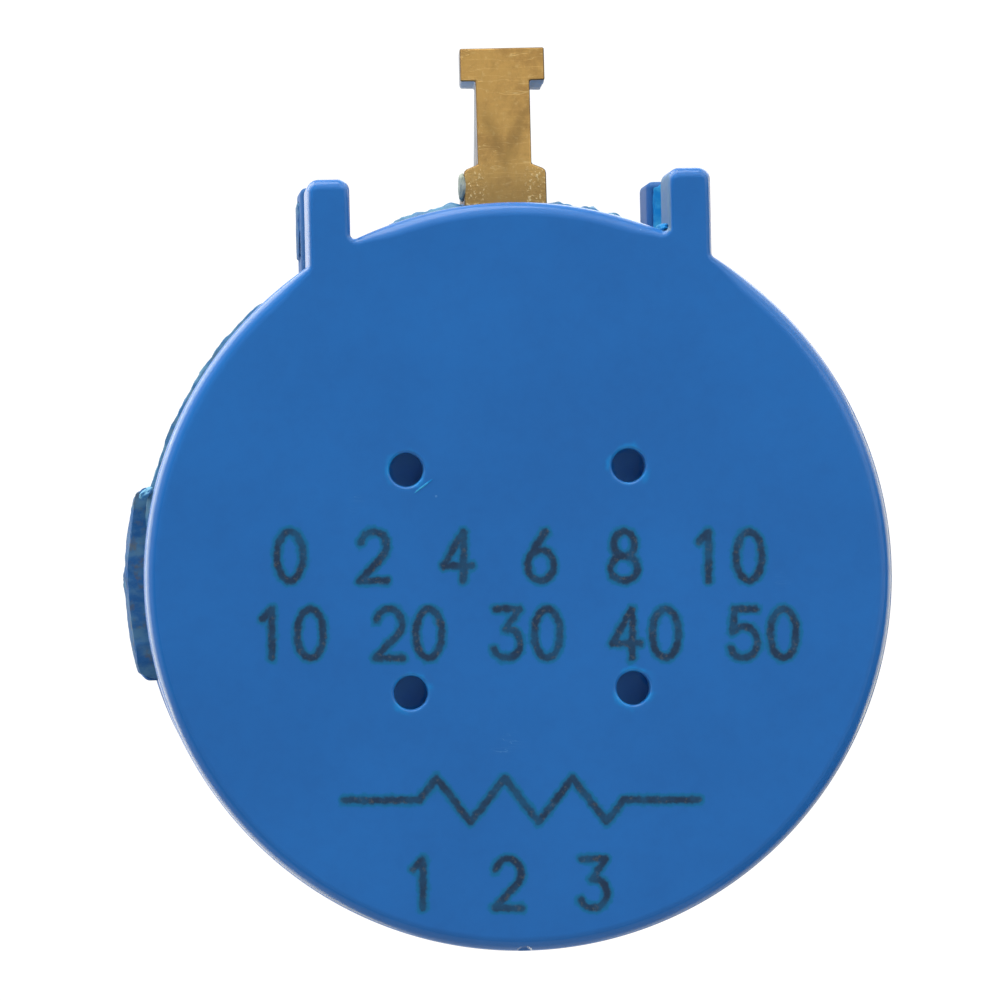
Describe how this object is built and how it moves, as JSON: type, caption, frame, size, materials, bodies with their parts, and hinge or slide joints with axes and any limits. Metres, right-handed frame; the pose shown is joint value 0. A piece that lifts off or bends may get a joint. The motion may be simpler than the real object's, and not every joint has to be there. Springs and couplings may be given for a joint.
{
  "type": "multiturn potentiometer",
  "caption": "Round blue precision potentiometer with a threaded panel bushing, a long plain shaft, side solder terminals and square feet; a carriage inside rides a helical element.",
  "frame": {"origin": "centre of the mounting face, where the bushing leaves the body", "axes": "+Y along the shaft towards its free end, +Z towards the terminals, +X to the right as seen from behind the rear face"},
  "size_m": [0.0227, 0.0397, 0.0276],
  "materials": {
    "blue_housing": "moulded, slightly glossy",
    "blue_cap": "moulded, satin",
    "nickel": "nickel plated, turned",
    "steel": "ground stainless steel",
    "spring_steel": "dark phosphated",
    "gold_plate": "gold plated, tarnished",
    "contact_metal": "plated spring metal",
    "tinned_metal": "tinned",
    "sealant_blue": "cured epoxy",
    "sealant_teal": "cured epoxy, smeared",
    "wound_wire": "enamelled resistance wire on a core",
    "black_plastic": "moulded",
    "ivory_plastic": "moulded",
    "washer_plastic": "stamped sheet"
  },
  "bodies": {
    "case": {"housing": "blue_housing", "rear_cap": "blue_cap", "bushing": "nickel", "terminal_front": "gold_plate", "terminal_middle": "gold_plate", "terminal_rear": "gold_plate", "terminal_sealant": "sealant_blue", "pad_sealant": "sealant_teal", "resistance_element": "wound_wire", "end_tap_front": "tinned_metal", "end_tap_rear": "tinned_metal", "wiper_brush": "contact_metal"},
    "rotor": {"shaft": "steel", "retaining_ring": "spring_steel", "thrust_washer": "steel", "spacer_washer": "washer_plastic", "rotor_hub": "black_plastic", "collector_strip": "contact_metal", "slip_ring": "contact_metal"},
    "carriage": {"carriage": "ivory_plastic", "wiper_contact": "contact_metal", "collector_contact": "contact_metal"}
  },
  "joints": [
    {"name": "shaft_turn", "type": "hinge", "parent": "case", "child": "rotor", "pos_m": [0, 0, 0], "axis": [0, -1, 0], "range_deg": [0, 3600]},
    {"name": "carriage_travel", "type": "slide", "parent": "rotor", "child": "carriage", "axis": [0, -1, 0], "range_m": [0, 0.012]}
  ],
  "couplings": [
    {"joint": "carriage_travel", "follows": "shaft_turn", "m_per_rad": 0.00019098}
  ]
}
